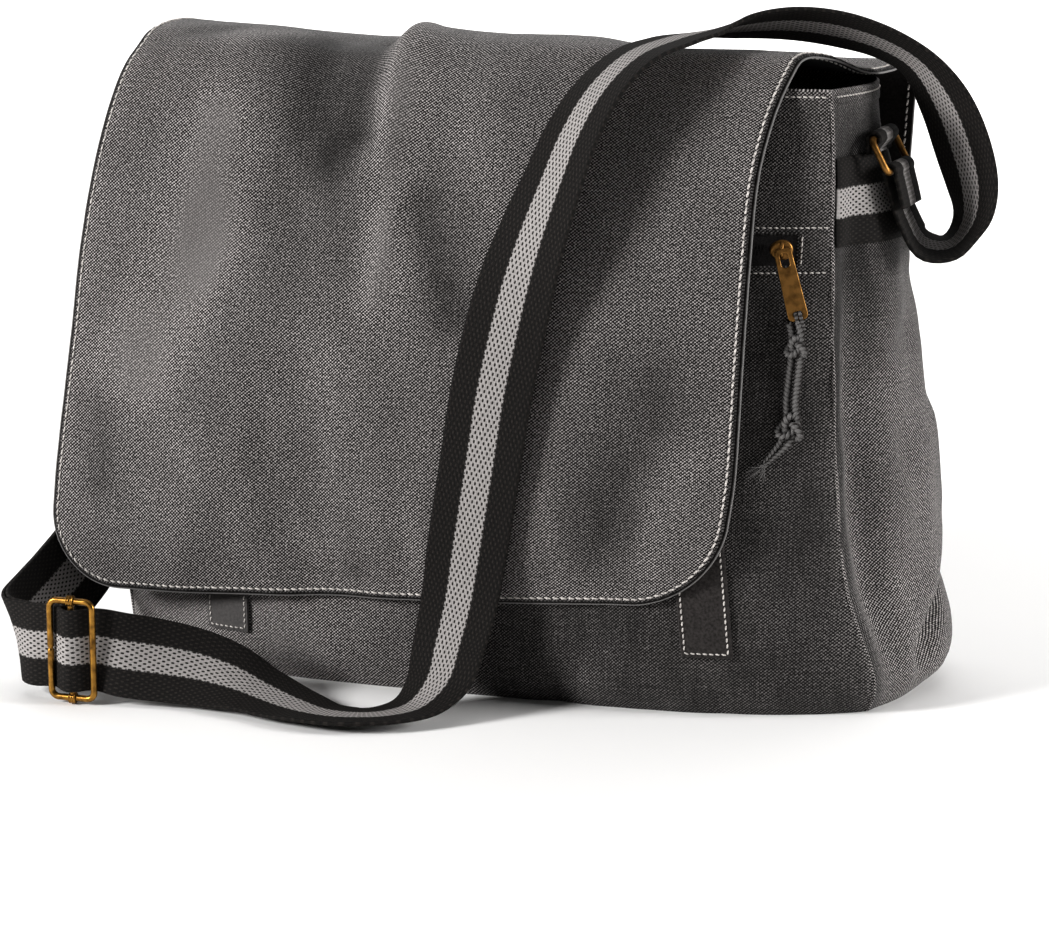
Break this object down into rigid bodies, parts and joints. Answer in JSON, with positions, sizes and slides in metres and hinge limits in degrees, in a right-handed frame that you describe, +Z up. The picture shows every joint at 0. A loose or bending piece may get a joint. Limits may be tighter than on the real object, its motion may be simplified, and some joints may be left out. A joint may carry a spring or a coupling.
{
  "type": "canvas shoulder bag",
  "caption": "Canvas messenger bag with a full front flap, a zipped front pocket, hook and loop closures and a wide striped webbing shoulder strap on metal rings with a slider.",
  "frame": {"origin": "middle of the base, on the surface that the bag stands on", "axes": "+X to the right of the front view, along the bag's width and its longest extent; +Y from front to back; +Z up"},
  "size_m": [0.4591, 0.2442, 0.3283],
  "materials": {
    "canvas": "washed charcoal cotton canvas with a visible plain weave",
    "webbing": "woven webbing in black, grey and black thirds",
    "closure_felt": "dark felted loop tape",
    "zip_nylon": "dark woven tape with a nylon coil",
    "aged_brass": "antique brass, polished on the edges",
    "lanyard_cord": "grey braided cord"
  },
  "bodies": {
    "root": {"front_panel": "canvas", "back_panel": "canvas", "gusset_right": "canvas", "gusset_left": "canvas", "base_panel": "canvas", "zip_tape": "zip_nylon", "zip_coil": "zip_nylon", "closure_strip_left": "closure_felt", "closure_strip_right": "closure_felt", "flap": "canvas", "side_band_right": "webbing", "side_band_left": "webbing", "ring_tab_right": "webbing", "ring_tab_left": "webbing", "strap_ring_right": "aged_brass", "strap_ring_left": "aged_brass", "shoulder_strap": "webbing", "slider_frame": "aged_brass", "slider_bar": "aged_brass", "zip_slider": "aged_brass", "zip_pull": "aged_brass", "pull_lanyard": "lanyard_cord"}
  },
  "joints": []
}
